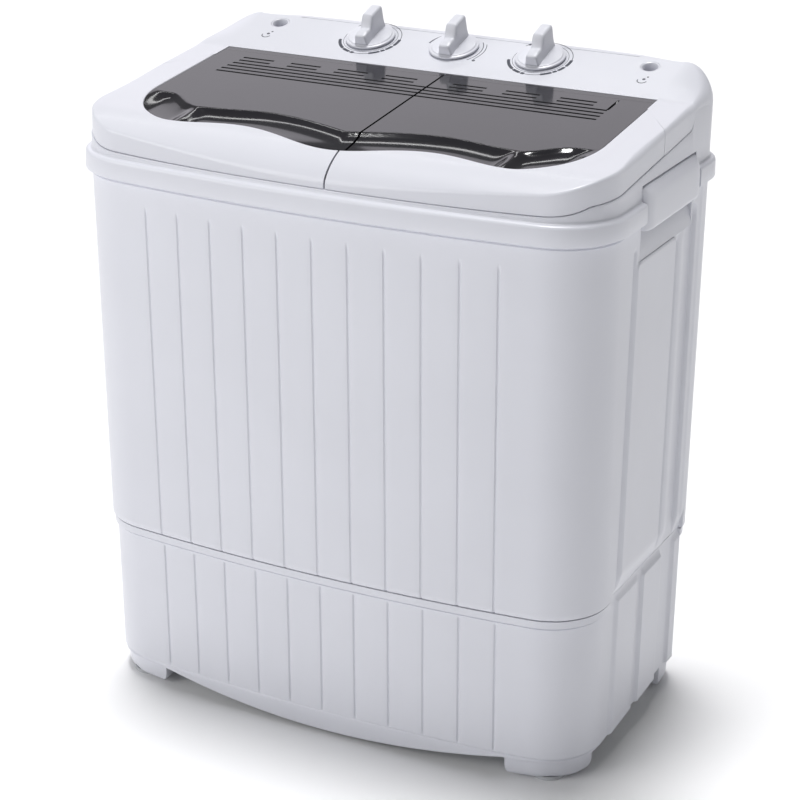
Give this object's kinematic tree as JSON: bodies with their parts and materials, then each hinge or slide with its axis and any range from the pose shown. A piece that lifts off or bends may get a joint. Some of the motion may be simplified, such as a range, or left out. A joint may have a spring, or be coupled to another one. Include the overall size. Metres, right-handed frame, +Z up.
{
  "type": "twin tub washer",
  "caption": "Compact twin tub washer: a wash tub with a pulsator beside a spin basket, under two smoked lids, with knobs on a sloping rear panel.",
  "frame": {"origin": "on the floor, under the middle of the cabinet's width and depth", "axes": "+X to the right (spin side), +Y to the back (control panel), +Z up"},
  "size_m": [0.598, 0.37, 0.7201],
  "materials": {
    "white_plastic": "gloss moulded polypropylene",
    "smoked_window": "polished smoked acrylic",
    "steel": "zinc plated",
    "polished_steel": "bright stainless",
    "rubber": "matte",
    "timer_plastic": "matte",
    "blue_plastic": "satin",
    "grey_plastic": "matte",
    "red_plastic": "satin",
    "motor_paint": "satin black paint",
    "cast_aluminium": "cast"
  },
  "bodies": {
    "cabinet": {"base_chassis": "white_plastic", "foot_pads": "rubber", "cord_gland": "rubber", "cabinet_shell": "white_plastic", "rear_panel": "white_plastic", "rear_panel_screws": "steel", "top_cover": "white_plastic", "tub_deck": "white_plastic", "control_fascia": "white_plastic", "center_hinge_bracket": "steel", "carry_handle_left": "white_plastic", "carry_handle_right": "white_plastic", "wash_timer": "timer_plastic", "drain_selector": "timer_plastic", "spin_timer": "timer_plastic", "inlet_ports": "white_plastic", "wash_tub": "white_plastic", "circulation_duct": "white_plastic", "overflow_grille": "white_plastic", "overflow_pipe": "grey_plastic", "shaft_seal": "rubber", "bearing_housing": "motor_paint", "drive_belt": "rubber", "wash_motor": "motor_paint", "motor_bracket": "steel", "motor_bolts": "steel", "capacitor": "cast_aluminium", "spin_tub": "white_plastic", "spin_bearing": "motor_paint", "spin_bellows": "rubber", "suspension_springs": "steel", "drain_valve_body": "grey_plastic", "drain_outlet": "grey_plastic"},
    "wash_lid": {"wash_lid_frame": "white_plastic", "wash_lid_window": "smoked_window", "wash_lid_pins": "steel"},
    "spin_lid": {"spin_lid_frame": "white_plastic", "spin_lid_window": "smoked_window", "spin_lid_pins": "steel"},
    "wash_timer_dial": {"wash_timer_spindle": "steel", "wash_timer_knob": "white_plastic"},
    "selector_dial": {"selector_spindle": "steel", "selector_knob": "white_plastic"},
    "spin_timer_dial": {"spin_timer_spindle": "steel", "spin_timer_knob": "white_plastic"},
    "pulsator_rotor": {"pulsator": "blue_plastic", "pulsator_screw": "steel", "pulsator_shaft": "steel", "drive_pulley": "cast_aluminium"},
    "motor_rotor": {"motor_pulley": "cast_aluminium", "motor_shaft": "steel"},
    "filter": {"lint_filter": "blue_plastic"},
    "spin_carriage": {"spin_motor": "motor_paint", "motor_carrier": "steel"},
    "spin_rotor": {"spin_basket": "polished_steel", "spin_shaft": "steel", "brake_drum": "cast_aluminium"},
    "load_disc": {"spin_disc": "blue_plastic"},
    "brake": {"brake_lever": "steel"},
    "drain_valve": {"drain_plunger": "red_plastic"}
  },
  "joints": [
    {"name": "wash_lid_hinge", "type": "hinge", "parent": "cabinet", "child": "wash_lid", "pos_m": [-0.12, 0.08, 0.664], "axis": [-1, 0, 0], "range_deg": [0, 98]},
    {"name": "spin_lid_hinge", "type": "hinge", "parent": "cabinet", "child": "spin_lid", "pos_m": [0.13, 0.08, 0.664], "axis": [-1, 0, 0], "range_deg": [0, 98]},
    {"name": "wash_timer_turn", "type": "hinge", "parent": "cabinet", "child": "wash_timer_dial", "pos_m": [-0.1, 0.13745, 0.68587], "axis": [0, 0.309, -0.9511], "range_deg": [0, 300]},
    {"name": "selector_turn", "type": "hinge", "parent": "cabinet", "child": "selector_dial", "pos_m": [0, 0.13745, 0.68587], "axis": [0, 0.309, -0.9511], "range_deg": [0, 90]},
    {"name": "spin_timer_turn", "type": "hinge", "parent": "cabinet", "child": "spin_timer_dial", "pos_m": [0.1, 0.13745, 0.68587], "axis": [0, 0.309, -0.9511], "range_deg": [0, 300]},
    {"name": "pulsator_spin", "type": "hinge", "parent": "cabinet", "child": "pulsator_rotor", "pos_m": [-0.135, -0.031, 0.2], "axis": [0, 0, 1], "continuous": true},
    {"name": "motor_spin", "type": "hinge", "parent": "cabinet", "child": "motor_rotor", "pos_m": [-0.205, 0.07, 0.14], "axis": [0, 0, 1], "continuous": true},
    {"name": "filter_slide", "type": "slide", "parent": "cabinet", "child": "filter", "axis": [0, 0, 1], "range_m": [0, 0.06]},
    {"name": "spin_suspension", "type": "slide", "parent": "cabinet", "child": "spin_carriage", "axis": [0, 0, 1], "range_m": [-0.004, 0.004], "stiffness_N_per_m": 40000, "springref_m": 0.0025, "deforming": ["suspension_springs"]},
    {"name": "spin_turn", "type": "hinge", "parent": "spin_carriage", "child": "spin_rotor", "pos_m": [0.15, -0.031, 0.2], "axis": [0, 0, 1], "continuous": true},
    {"name": "load_disc_lift", "type": "slide", "parent": "spin_rotor", "child": "load_disc", "axis": [0, 0, 1], "range_m": [0, 0.045]},
    {"name": "brake_pivot", "type": "hinge", "parent": "spin_carriage", "child": "brake", "pos_m": [0.093, 0.029, 0.176], "axis": [0, 0, 1], "range_deg": [0, 3.8]},
    {"name": "drain_slide", "type": "slide", "parent": "cabinet", "child": "drain_valve", "axis": [0, 0, -1], "range_m": [0, 0.012]}
  ],
  "couplings": [
    {"joint": "motor_spin", "follows": "pulsator_spin", "ratio": 4.475},
    {"joint": "brake_pivot", "follows": "spin_lid_hinge", "ratio": 0.038},
    {"joint": "drain_slide", "follows": "selector_turn", "m_per_rad": 0.0076}
  ]
}
